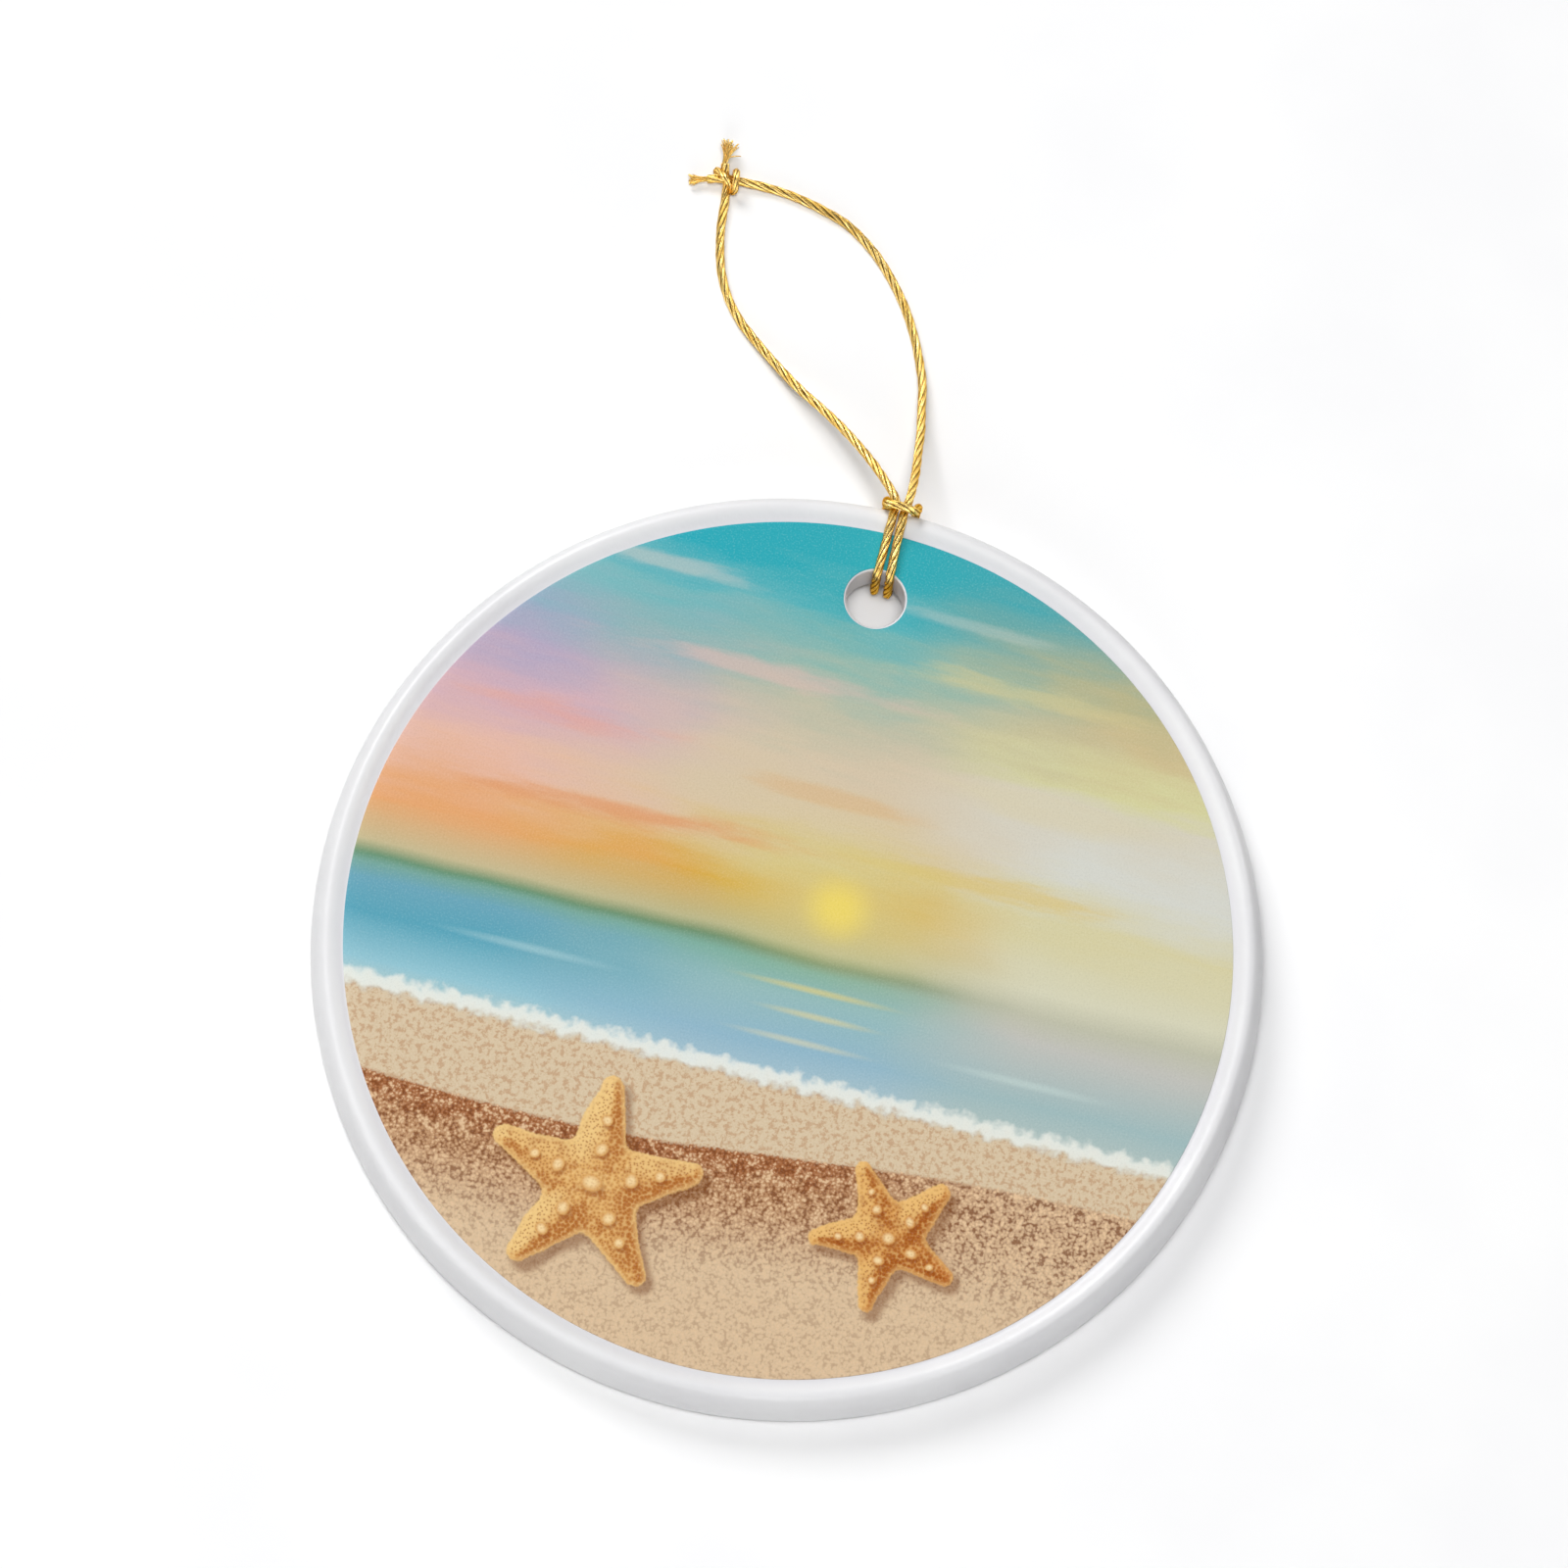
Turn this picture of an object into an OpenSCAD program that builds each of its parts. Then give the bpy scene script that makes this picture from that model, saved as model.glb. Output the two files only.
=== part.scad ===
// Round ceramic hanging ornament with a printed face and a metallic cord loop.
// It lies face up: +Z is up, +Y points from the disc's middle to its hanging hole.
// The cord goes through the hole in a girth hitch, and its two back legs lie under
// the disc, so the disc rests on them and on its lower back edge, slightly tilted.

/* [Ceramic disc] */
// Outer diameter of the disc
disc_d = 73; // [72:0.5:74]
// Thickness of the disc at the flat face
face_h = 3.55; // [3.4:0.05:3.7]
// Diameter of the flat face inside the raised rim
face_d = 68; // [67:0.5:69]
// Height of the raised rim above the flat face
bead_h = 0.45; // [0.3:0.05:0.45]
// Width of the rim outside its highest line
bead_out_w = 1.3; // [1.2:0.05:1.4]
// Rounding of the back edge
back_round = 0.5; // [0.3:0.1:0.6]

/* [Hanging hole] */
// Diameter of the hanging hole
hole_d = 4.6; // [4.5:0.1:5]
// Distance from the disc's middle to the hole's middle
hole_y = 28.6; // [28.4:0.1:28.8]
// Rounding of the hole's front edge
hole_front_round = 0.15; // [0.1:0.05:0.2]
// Rounding of the hole's back edge
hole_back_round = 0.4; // [0.3:0.05:0.5]

/* [Printed face] */
// Thickness of the printed coat
print_h = 0.06; // [0.03:0.01:0.1]

/* [Cord] */
// Diameter of the metallic cord
cord_d = 0.7; // [0.6:0.05:0.7]

/* [Hidden] */

gold = [0.83, 0.64, 0.25];
disc_r = disc_d / 2;
face_r = face_d / 2;
hole_r = hole_d / 2;
bead_r = disc_r - bead_out_w;
bead_top = face_h + bead_h;
foot_y = disc_r - back_round;
cord_gap = 0.1;
cord_sides = 8;
arc_steps = 8;
// How far the back legs lift the disc where they leave the hole, and the tilt this gives
lift_h = cord_d + cord_gap;
tilt = asin(lift_h / (hole_y + hole_r + foot_y));

// Points of an elliptical arc from angle a to angle b about (x, y)
function arc(x, y, rx, ry, a, b) =
    [for (i = [0:arc_steps]) let (t = a + (b - a) * i / arc_steps) [x + rx * cos(t), y + ry * sin(t)]];

// Turns children of the disc's own frame onto the surface it rests on
module as_it_lies() {
    translate([0, -foot_y, 0]) rotate([tilt, 0, 0]) translate([0, foot_y, 0]) children();
}

// A tube of radius r with one ring at each route point; each ring's first spoke is the
// one before it, turned square to the route, and side is the spoke it starts from
function unit(v) = v / norm(v);
function heading(p, i) = unit(p[min(i + 1, len(p) - 1)] - p[max(i - 1, 0)]);
function spokes(p, side, i = 0) = i == len(p) ? [] :
    let (t = heading(p, i), u = unit(side - (side * t) * t)) concat([u], spokes(p, u, i + 1));
function ring(p, i, r, u) = let (v = cross(heading(p, i), u))
    [for (k = [0:cord_sides - 1]) let (a = 360 * (k + 0.5) / cord_sides) p[i] + r * (cos(a) * u + sin(a) * v)];
module tube(p, r, side) {
    n = cord_sides;
    last = len(p) - 1;
    us = spokes(p, side);
    points = [for (i = [0:last]) each ring(p, i, r, us[i])];
    walls = [for (i = [0:last - 1], k = [0:n - 1])
        let (a = i * n + k, b = i * n + (k + 1) % n) each [[a, b + n, b], [a, a + n, b + n]]];
    ends = [[for (k = [0:n - 1]) k], [for (k = [n - 1:-1:0]) last * n + k]];
    polyhedron(points, concat(walls, ends), convexity = 6);
}

// Cord routes held by the disc, in the disc's own frame: [across, towards the rim, up]
front_left = [[-0.45, 31.4, -0.45], [-0.42, 31.1, -0.45], [-0.38, 30.65, -0.2], [-0.33, 30.37, 0.3],
    [-0.32, 30.35, 3.3], [-0.32, 30.45, 3.7], [-0.31, 30.65, 3.95], [-0.3, 31, 4.06], [-0.27, 33.2, 4.06],
    [-0.25, 34.3, 4.22], [-0.22, 35.1, 4.45], [-0.22, 35.8, 4.4], [-0.24, 36.3, 4.3]];
front_right = [[0.81, 31.4, -0.45], [0.78, 31.1, -0.45], [0.74, 30.6, -0.2], [0.71, 30.32, 0.3],
    [0.7, 30.3, 3.3], [0.69, 30.4, 3.7], [0.68, 30.6, 3.95], [0.66, 31, 4.06], [0.58, 33.2, 4.06],
    [0.57, 34.3, 4.22], [0.56, 35.1, 4.45], [0.57, 35.8, 4.4], [0.59, 36.3, 4.3]];
back_left = [[-0.45, 31.4, -0.45], [-0.9, 35.9, -0.45]];
back_right = [[0.81, 31.4, -0.45], [1.26, 35.9, -0.45]];
band = [[-0.9, 35.9, -0.45], [-0.94, 36.3, -0.45], [-0.97, 36.9, -0.2], [-0.98, 37.15, 0.5], [-0.97, 37.1, 2],
    [-0.97, 36.7, 3.4], [-0.98, 36.2, 4.2], [-0.87, 35.95, 4.78], [-0.5, 35.9, 5.12], [0.1, 35.92, 5.2],
    [0.8, 35.88, 5.15], [1.25, 35.85, 4.85], [1.5, 36.05, 4.3], [1.52, 36.7, 3.4], [1.45, 37.1, 2],
    [1.38, 37.15, 0.5], [1.33, 36.9, -0.2], [1.3, 36.3, -0.45], [1.26, 35.9, -0.45]];

// Free cord routes, in the frame of the surface: the strands drop from the rim and lie slack
loop_left = [[-0.45, 36.75, 5.2], [-1.1, 37.6, 4.9], [-2.6, 39.3, 4.1], [-4.2, 40.9, 3.2], [-6, 42.4, 2.5],
    [-8, 43.8, 1.9], [-10, 45.1, 1.4], [-12, 46.6, 1], [-14, 48.2, 0.7], [-15.7, 49.7, 0.5],
    [-17.1, 51.4, 0.4], [-18.1, 53.3, 0.35], [-18.7, 55.2, 0.35], [-19.1, 57.2, 0.35], [-19.3, 59.3, 0.38],
    [-19.5, 60.8, 0.5]];
loop_right = [[0.7, 36.75, 5.2], [0.72, 38, 4.7], [0.62, 39.9, 3.6], [0.4, 41.9, 2.6], [0.2, 43.8, 1.8],
    [-0.2, 45.9, 1.2], [-0.6, 48, 0.8], [-1.3, 50, 0.5], [-2.2, 52, 0.4], [-3.4, 54.1, 0.35],
    [-5, 56.2, 0.35], [-7, 58.2, 0.35], [-9.4, 59.8, 0.35], [-11.8, 60.6, 0.35], [-14.1, 61.1, 0.35],
    [-16.5, 61.3, 0.35], [-18.9, 61.2, 0.5]];
tail_left = [[-20, 61.1, 0.5], [-21.2, 60.9, 0.55], [-22.4, 60.4, 0.45]];
tail_upper = [[-19.7, 61.6, 0.8], [-19.85, 62.8, 1.1], [-20, 64, 1.4]];
// Middle and radius of each ball that the knot's outer shape is drawn over
knot_balls = [[-19.9, 61.4, 0.75, 0.75], [-19.1, 61.1, 0.7, 0.7], [-19.5, 61.2, 0.9, 0.75]];

// Glazed ceramic body: flat back, rounded rim raised round a flat face, one hole
module ceramic_disc() {
    rim_in = face_r;
    bead_in_w = bead_r - rim_in;
    profile = concat([[0, 0]],
        arc(foot_y, back_round, back_round, back_round, -90, 0),
        arc(bead_r, back_round, bead_out_w, bead_top - back_round, 0, 90),
        [for (i = [1:arc_steps]) let (s = i / arc_steps)
            [bead_r - bead_in_w * s, face_h + bead_h * (1 + cos(180 * s)) / 2]],
        [[0, face_h]]);
    hole_profile = concat([[0, -1], [hole_r + hole_back_round, -1]],
        arc(hole_r + hole_back_round, hole_back_round, hole_back_round, hole_back_round, -90, -180),
        arc(hole_r + hole_front_round, face_h - hole_front_round, hole_front_round, hole_front_round, 180, 90),
        [[hole_r + hole_front_round, face_h + 1], [0, face_h + 1]]);
    color("white") as_it_lies() difference() {
        rotate_extrude($fn = 180) polygon(profile);
        translate([0, hole_y, 0]) rotate_extrude($fn = 64) polygon(hole_profile);
    }
}

// Thin printed coat over the whole flat face, open at the hole
module printed_face() {
    color([0.55, 0.75, 0.75]) as_it_lies() translate([0, 0, face_h]) difference() {
        cylinder(h = print_h, r = face_r, $fn = 180);
        translate([0, hole_y, -1]) cylinder(h = print_h + 2, r = hole_r + hole_front_round, $fn = 64);
    }
}

// Stretches of the cord that the disc holds
module held_cord(route) {
    color(gold) as_it_lies() tube(route, cord_d / 2, [1, 0, 0]);
}
module cord_front_leg_left() { held_cord(front_left); }
module cord_front_leg_right() { held_cord(front_right); }
module cord_back_leg_left() { held_cord(back_left); }
module cord_back_leg_right() { held_cord(back_right); }
module cord_band() { held_cord(band); }

// Stretches of the cord that lie free
module free_cord(route) {
    color(gold) tube(route, cord_d / 2, [0, 0, 1]);
}
module cord_loop_left() { free_cord(loop_left); }
module cord_loop_right() { free_cord(loop_right); }
module cord_tail_left() { free_cord(tail_left); }
module cord_tail_upper() { free_cord(tail_upper); }

// Outer shape of the knot that joins the loop's two strands
module cord_knot() {
    color(gold) hull() for (b = knot_balls) translate([b[0], b[1], b[2]]) sphere(r = b[3], $fn = 24);
}

ceramic_disc();
printed_face();
cord_front_leg_left();
cord_front_leg_right();
cord_back_leg_left();
cord_back_leg_right();
cord_band();
cord_loop_left();
cord_loop_right();
cord_knot();
cord_tail_left();
cord_tail_upper();
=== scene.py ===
import math
import random

import bmesh
import bpy
from mathutils import Matrix, Vector


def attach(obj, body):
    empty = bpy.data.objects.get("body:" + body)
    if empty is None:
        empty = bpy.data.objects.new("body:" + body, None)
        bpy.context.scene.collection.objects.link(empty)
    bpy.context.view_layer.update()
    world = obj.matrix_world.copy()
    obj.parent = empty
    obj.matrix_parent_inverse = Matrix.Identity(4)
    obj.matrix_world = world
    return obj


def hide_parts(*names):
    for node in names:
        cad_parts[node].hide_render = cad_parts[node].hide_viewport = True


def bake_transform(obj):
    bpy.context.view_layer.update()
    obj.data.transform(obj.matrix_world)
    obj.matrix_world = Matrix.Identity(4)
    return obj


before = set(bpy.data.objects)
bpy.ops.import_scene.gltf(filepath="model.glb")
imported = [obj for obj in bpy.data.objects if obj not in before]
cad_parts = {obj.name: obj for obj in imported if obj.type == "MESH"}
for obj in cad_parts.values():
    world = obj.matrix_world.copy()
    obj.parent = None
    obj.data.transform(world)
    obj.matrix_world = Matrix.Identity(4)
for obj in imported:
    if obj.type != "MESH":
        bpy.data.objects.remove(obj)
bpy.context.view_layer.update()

scene = bpy.context.scene
mm = 0.001

# camera first, then the cords, because their spread depends on what it sees
cameraSet = {
    "place": (0.01393, -0.1711, 0.57722),
    "turn": (17.63, -2.6, 13.51),  # degrees about X, Y and Z
    "lens": 180.0,
    "sensor": 36.0,
}


def addCamera():
    data = bpy.data.cameras.new("camera")
    data.lens = cameraSet["lens"]
    data.sensor_width = cameraSet["sensor"]
    data.clip_start = 0.01
    data.clip_end = 20.0
    camera = bpy.data.objects.new("camera", data)
    camera.location = cameraSet["place"]
    camera.rotation_euler = [math.radians(angle) for angle in cameraSet["turn"]]
    scene.collection.objects.link(camera)
    scene.camera = camera


addCamera()
scene.view_settings.view_transform = "Standard"
print("camera placed")


# sizes of the ceramic body in its own frame, in metres; it rests on the cord behind it
disc = {
    "outerRadius": 0.0365, "footRadius": 0.036, "backRound": 0.0005,
    "faceRadius": 0.034, "faceHeight": 0.00355,
    "beadRadius": 0.0352, "beadHeight": 0.004,
    "holeY": 0.0286, "holeRadius": 0.0023, "holeFrontRound": 0.00015, "holeBackRound": 0.0004,
    "printThick": 0.00006,
    "lift": 0.0008,      # the cord and its slack under the far side of the hole
    "roundSteps": 320,   # points in each ring
    "flatSteps": 26,     # rings across a flat
    "waver": 0.00002,    # how far the rim strays from true
}
tilt = math.asin(disc["lift"] / (disc["holeY"] + disc["holeRadius"] + disc["footRadius"]))
asItLies = (Matrix.Translation((0, -disc["footRadius"], 0)) @ Matrix.Rotation(tilt, 4, "X")
            @ Matrix.Translation((0, disc["footRadius"], 0)))


def newPiece(name, verts, faces, material):
    mesh = bpy.data.meshes.new(name)
    mesh.from_pydata(verts, [], faces)
    mesh.validate()
    mesh.materials.append(material)
    mesh.shade_smooth()
    piece = bpy.data.objects.new(name, mesh)
    scene.collection.objects.link(piece)
    return piece


# a small kit for materials: a Field is a number that changes over the surface, and its
# sums, products and steps each become one node
class Field:
    def __init__(self, tree, socket):
        self.tree = tree
        self.socket = socket

    def calc(self, kind, *others, clamp=False):
        step = self.tree.nodes.new("ShaderNodeMath")
        step.operation = kind
        step.use_clamp = clamp
        for place, value in zip(step.inputs, (self,) + others):
            feed(self.tree, place, value)
        return Field(self.tree, step.outputs[0])

    def __add__(self, other):
        return self.calc("ADD", other)

    def __sub__(self, other):
        return self.calc("SUBTRACT", other)

    def __mul__(self, other):
        return self.calc("MULTIPLY", other)

    def over(self, low, high, start=0.0, end=1.0):
        # rises smoothly from start to end as the field goes from low to high
        step = self.tree.nodes.new("ShaderNodeMapRange")
        step.interpolation_type = "SMOOTHSTEP"
        feed(self.tree, step.inputs["Value"], self)
        step.inputs["From Min"].default_value = low
        step.inputs["From Max"].default_value = high
        step.inputs["To Min"].default_value = start
        step.inputs["To Max"].default_value = end
        return Field(self.tree, step.outputs[0])

    def curve(self, low, high, points):
        # a smooth curve through the given (x, y) points, with y from 0 to 1
        step = self.tree.nodes.new("ShaderNodeFloatCurve")
        line = step.mapping.curves[0]
        while len(line.points) < len(points):
            line.points.new(0.5, 0.5)
        for knot, (x, y) in zip(line.points, points):
            knot.location = ((x - low) / (high - low), y)
        step.mapping.update()
        feed(self.tree, step.inputs["Value"], (self - low) * (1 / (high - low)))
        return Field(self.tree, step.outputs[0])

    def ramp(self, low, high, stops):
        # a colour for each height, blended between
        step = self.tree.nodes.new("ShaderNodeValToRGB")
        bar = step.color_ramp
        while len(bar.elements) < len(stops):
            bar.elements.new(0.5)
        for mark, (place, colour) in zip(bar.elements, stops):
            mark.position = (place - low) / (high - low)
        for mark, (place, colour) in zip(bar.elements, stops):
            mark.color = ink(colour)
        feed(self.tree, step.inputs[0], (self - low) * (1 / (high - low)))
        return step.outputs[0]


def feed(tree, place, value):
    if isinstance(value, Field):
        tree.links.new(value.socket, place)
    elif isinstance(value, bpy.types.NodeSocket):
        tree.links.new(value, place)
    else:
        place.default_value = value


def vectorOf(tree, x, y, z=0.0):
    step = tree.nodes.new("ShaderNodeCombineXYZ")
    for place, value in zip(step.inputs, (x, y, z)):
        feed(tree, place, value)
    return step.outputs[0]


def vectorStep(tree, kind, first, second=None, scale=None):
    step = tree.nodes.new("ShaderNodeVectorMath")
    step.operation = kind
    feed(tree, step.inputs[0], first)
    if second is not None:
        feed(tree, step.inputs[1], second)
    if scale is not None:
        feed(tree, step.inputs["Scale"], scale)
    if kind in ("DOT_PRODUCT", "LENGTH", "DISTANCE"):
        return Field(tree, step.outputs["Value"])
    return step.outputs["Vector"]


def noiseField(tree, where, scale, detail=2.0, rough=0.5, flat=True):
    step = tree.nodes.new("ShaderNodeTexNoise")
    step.noise_dimensions = "2D" if flat else "3D"
    feed(tree, step.inputs["Vector"], where)
    step.inputs["Scale"].default_value = scale
    step.inputs["Detail"].default_value = detail
    step.inputs["Roughness"].default_value = rough
    return Field(tree, step.outputs[0])


def cellField(tree, where, scale, loose=1.0):
    step = tree.nodes.new("ShaderNodeTexVoronoi")
    step.voronoi_dimensions = "2D"
    feed(tree, step.inputs["Vector"], where)
    step.inputs["Scale"].default_value = scale
    step.inputs["Randomness"].default_value = loose
    return Field(tree, step.outputs["Distance"])


def layer(tree, under, colour, cover):
    # lays a colour over what is there, as thick as cover says
    step = tree.nodes.new("ShaderNodeMix")
    step.data_type = "RGBA"
    feed(tree, step.inputs[0], cover)
    feed(tree, step.inputs[6], under)
    feed(tree, step.inputs[7], colour)
    return step.outputs[2]


def linear(value):
    value = value / 255
    return value / 12.92 if value <= 0.04045 else ((value + 0.055) / 1.055) ** 2.4


inkDepth = 0.92  # printed colours are this much deeper than they look under the lights
inkVeil = 0.026  # and the coat's own shine lifts them by this


def ink(colour):
    return tuple(max(0.004, inkDepth * linear(c) - inkVeil) for c in colour) + (1.0,)


def newMaterial(name):
    material = bpy.data.materials.new(name)
    material.use_nodes = True
    tree = material.node_tree
    shader = tree.nodes["Principled BSDF"]
    return material, tree, shader


def surfacePlace(tree):
    # the surface's own coordinates in millimetres, in the disc's own frame
    coords = tree.nodes.new("ShaderNodeTexCoord")
    place = tree.nodes.new("ShaderNodeMapping")
    back = asItLies.inverted()
    place.inputs["Location"].default_value = [c / mm for c in back.to_translation()]
    place.inputs["Rotation"].default_value = back.to_euler()
    place.inputs["Scale"].default_value = (1 / mm, 1 / mm, 1 / mm)
    tree.links.new(coords.outputs["Object"], place.inputs["Vector"])
    return place.outputs["Vector"]


def addBump(tree, shader, height, depth):
    bump = tree.nodes.new("ShaderNodeBump")
    bump.inputs["Distance"].default_value = depth
    feed(tree, bump.inputs["Height"], height)
    tree.links.new(bump.outputs["Normal"], shader.inputs["Normal"])


# metallic thread: pale film on the outside of each ply, and painted shade, deep brown, where two plies meet
thread = {
    "bright": (255, 236, 168), "middle": (238, 190, 84), "deep": (104, 62, 4), "edge": (242, 192, 92),
    "rough": 0.2,
    "fibres": 5.5,        # fibre streaks round a ply
    "streakLength": 0.9,  # streaks per millimetre along it
    "bumpDepth": 0.00003,
}


def threadMaterial():
    material, tree, shader = newMaterial("gold_thread")
    strand = tree.nodes.new("ShaderNodeAttribute")
    strand.attribute_name = "strand"
    outside = tree.nodes.new("ShaderNodeAttribute")
    outside.attribute_name = "outside"
    face = Field(tree, outside.outputs["Fac"])
    longWays = vectorStep(tree, "MULTIPLY", strand.outputs["Vector"],
                          (thread["fibres"], thread["fibres"], thread["streakLength"]))
    fibre = noiseField(tree, longWays, 1.0, 3.0, 0.6, flat=False)
    patch = noiseField(tree, strand.outputs["Vector"], 0.8, 1.0, 0.5, flat=False)
    gold = layer(tree, plain(thread["middle"]), plain(thread["bright"]), fibre.over(0.42, 0.62))
    gold = layer(tree, gold, plain(thread["deep"]), fibre.over(0.47, 0.33, 0.0, 0.8))
    gold = layer(tree, gold, plain(thread["middle"]), patch.over(0.45, 0.65, 0.0, 0.5))
    # painted shade: deep brown on the inner side of each ply, where it meets the next ply
    gold = layer(tree, gold, plain(thread["deep"]), face.over(0.84, 0.54, 0.0, 0.9))
    feed(tree, shader.inputs["Base Color"], gold)
    shader.inputs["Metallic"].default_value = 1.0
    shader.inputs["Specular Tint"].default_value = plain(thread["edge"])
    feed(tree, shader.inputs["Roughness"],
         patch.over(0.3, 0.7, thread["rough"] - 0.08, thread["rough"] + 0.14))
    addBump(tree, shader, fibre, thread["bumpDepth"])
    return material


def plain(colour):
    return tuple(linear(c) for c in colour) + (1.0,)


goldThread = threadMaterial()

# the cord: five plies laid round each other, 0.7 mm thick
cord = {
    "diameter": 0.0007, "plies": 5, "pitch": 0.0062,
    "plyOffset": 0.000214, "plyOut": 0.000136, "plyAcross": 0.00016,
    "sides": 10,
    "step": 0.00013,     # rings along the cord
}

# the stretches that the disc holds, in the disc's own frame
heldRoutes = {
    "frontLeft": [
        (-0.00045, 0.0314, -0.00045), (-0.00042, 0.0311, -0.00045), (-0.00038, 0.03065, -0.0002),
        (-0.00033, 0.03037, 0.0003), (-0.00032, 0.03035, 0.0033), (-0.00032, 0.03045, 0.0037),
        (-0.00031, 0.03065, 0.00395), (-0.0003, 0.031, 0.00406), (-0.00027, 0.0332, 0.00406),
        (-0.00025, 0.0343, 0.00422), (-0.00022, 0.0351, 0.00445), (-0.00022, 0.0358, 0.0044),
        (-0.00024, 0.0363, 0.0043),
    ],
    "frontRight": [
        (0.00081, 0.0314, -0.00045), (0.00078, 0.0311, -0.00045), (0.00074, 0.0306, -0.0002),
        (0.00071, 0.03032, 0.0003), (0.0007, 0.0303, 0.0033), (0.00069, 0.0304, 0.0037),
        (0.00068, 0.0306, 0.00395), (0.00066, 0.031, 0.00406), (0.00058, 0.0332, 0.00406),
        (0.00057, 0.0343, 0.00422), (0.00056, 0.0351, 0.00445), (0.00057, 0.0358, 0.0044),
        (0.00059, 0.0363, 0.0043),
    ],
    "backLeft": [
        (-0.00045, 0.0314, -0.00045), (-0.0009, 0.0359, -0.00045),
    ],
    "backRight": [
        (0.00081, 0.0314, -0.00045), (0.00126, 0.0359, -0.00045),
    ],
    "band": [
        (-0.0009, 0.0359, -0.00045), (-0.00094, 0.0363, -0.00045), (-0.00097, 0.0369, -0.0002),
        (-0.00098, 0.03715, 0.0005), (-0.00097, 0.0371, 0.002), (-0.00097, 0.0367, 0.0034),
        (-0.00098, 0.0362, 0.0042), (-0.00087, 0.03595, 0.00478), (-0.0005, 0.0359, 0.00512),
        (0.0001, 0.03592, 0.0052), (0.0008, 0.03588, 0.00515), (0.00125, 0.03585, 0.00485),
        (0.0015, 0.03605, 0.0043), (0.00152, 0.0367, 0.0034), (0.00145, 0.0371, 0.002),
        (0.00138, 0.03715, 0.0005), (0.00133, 0.0369, -0.0002), (0.0013, 0.0363, -0.00045),
        (0.00126, 0.0359, -0.00045),
    ],
}
# the stretches that lie free
freeRoutes = {
    "loopLeft": [
        (-0.00045, 0.03675, 0.0052), (-0.0011, 0.0376, 0.0049), (-0.0026, 0.0393, 0.0041),
        (-0.0042, 0.0409, 0.0032), (-0.006, 0.0424, 0.0025), (-0.008, 0.0438, 0.0019),
        (-0.01, 0.0451, 0.0014), (-0.012, 0.0466, 0.001), (-0.014, 0.0482, 0.0007),
        (-0.0157, 0.0497, 0.0005), (-0.0171, 0.0514, 0.0004), (-0.0181, 0.0533, 0.00035),
        (-0.0187, 0.0552, 0.00035), (-0.0191, 0.0572, 0.00035), (-0.0193, 0.0593, 0.00038),
        (-0.0195, 0.0608, 0.0005),
    ],
    "loopRight": [
        (0.0007, 0.03675, 0.0052), (0.00072, 0.038, 0.0047), (0.00062, 0.0399, 0.0036),
        (0.0004, 0.0419, 0.0026), (0.0002, 0.0438, 0.0018), (-0.0002, 0.0459, 0.0012),
        (-0.0006, 0.048, 0.0008), (-0.0013, 0.05, 0.0005), (-0.0022, 0.052, 0.0004),
        (-0.0034, 0.0541, 0.00035), (-0.005, 0.0562, 0.00035), (-0.007, 0.0582, 0.00035),
        (-0.0094, 0.0598, 0.00035), (-0.0118, 0.0606, 0.00035), (-0.0141, 0.0611, 0.00035),
        (-0.0165, 0.0613, 0.00035), (-0.0189, 0.0612, 0.0005),
    ],
}


def onSurface(points):
    return [asItLies @ Vector(p) for p in points]


def smoothLine(points, step):
    # an even line on a smooth curve through the points
    points = [Vector(p) for p in points]
    ends = [points[0] * 2 - points[1]] + points + [points[-1] * 2 - points[-2]]
    fine = []
    for a, b, c, d in zip(ends, ends[1:], ends[2:], ends[3:]):
        for i in range(24):
            t = i / 24
            fine.append(0.5 * ((2 * b) + (c - a) * t + (2 * a - 5 * b + 4 * c - d) * t * t
                               + (3 * b - a - 3 * c + d) * t ** 3))
    fine.append(points[-1])
    line = [fine[0]]
    left = step
    for a, b in zip(fine, fine[1:]):
        span = (b - a).length
        walked = 0.0
        while span - walked >= left:
            walked += left
            line.append(a.lerp(b, walked / span))
            left = step
        left -= span - walked
    return line


def carriedSides(line):
    # a heading and two side vectors at each point, carried along without twist
    sides = []
    u = Vector((0.31, 0.22, 0.93))
    for i in range(len(line)):
        t = (line[min(i + 1, len(line) - 1)] - line[max(i - 1, 0)]).normalized()
        u = (u - u.dot(t) * t).normalized()
        sides.append((t, u, t.cross(u)))
    return sides


class Bundle:
    # collects strands into one mesh
    def __init__(self):
        self.verts = []
        self.faces = []
        self.marks = []
        self.outside = []

    def strand(self, centres, axes, halfOut, halfAcross, sides, number, shade=True):
        first = len(self.verts)
        walked = 0.0
        for i, (centre, (out, across)) in enumerate(zip(centres, axes)):
            if i:
                walked += (centre - centres[i - 1]).length / mm
            thin = halfOut[i] if isinstance(halfOut, list) else halfOut
            wide = halfAcross[i] if isinstance(halfAcross, list) else halfAcross
            for k in range(sides):
                a = 2 * math.pi * k / sides
                self.verts.append(centre + math.cos(a) * thin * out + math.sin(a) * wide * across)
                self.marks += [math.cos(a), math.sin(a), walked + 17.3 * number]
                # how far round the ply faces outwards; the material paints shade where this is low
                self.outside.append(0.5 + 0.5 * math.cos(a) if shade else 1.0)
        last = first + (len(centres) - 1) * sides
        for ring in range(first, last, sides):
            for k in range(sides):
                j = (k + 1) % sides
                self.faces.append((ring + k, ring + j, ring + sides + j, ring + sides + k))
        self.faces.append(tuple(range(first + sides - 1, first - 1, -1)))
        self.faces.append(tuple(range(last, last + sides)))

    def piece(self, name):
        made = newPiece(name, self.verts, self.faces, goldThread)
        marks = made.data.attributes.new("strand", "FLOAT_VECTOR", "POINT")
        marks.data.foreach_set("vector", self.marks)
        outside = made.data.attributes.new("outside", "FLOAT", "POINT")
        outside.data.foreach_set("value", self.outside)
        return made


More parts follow.
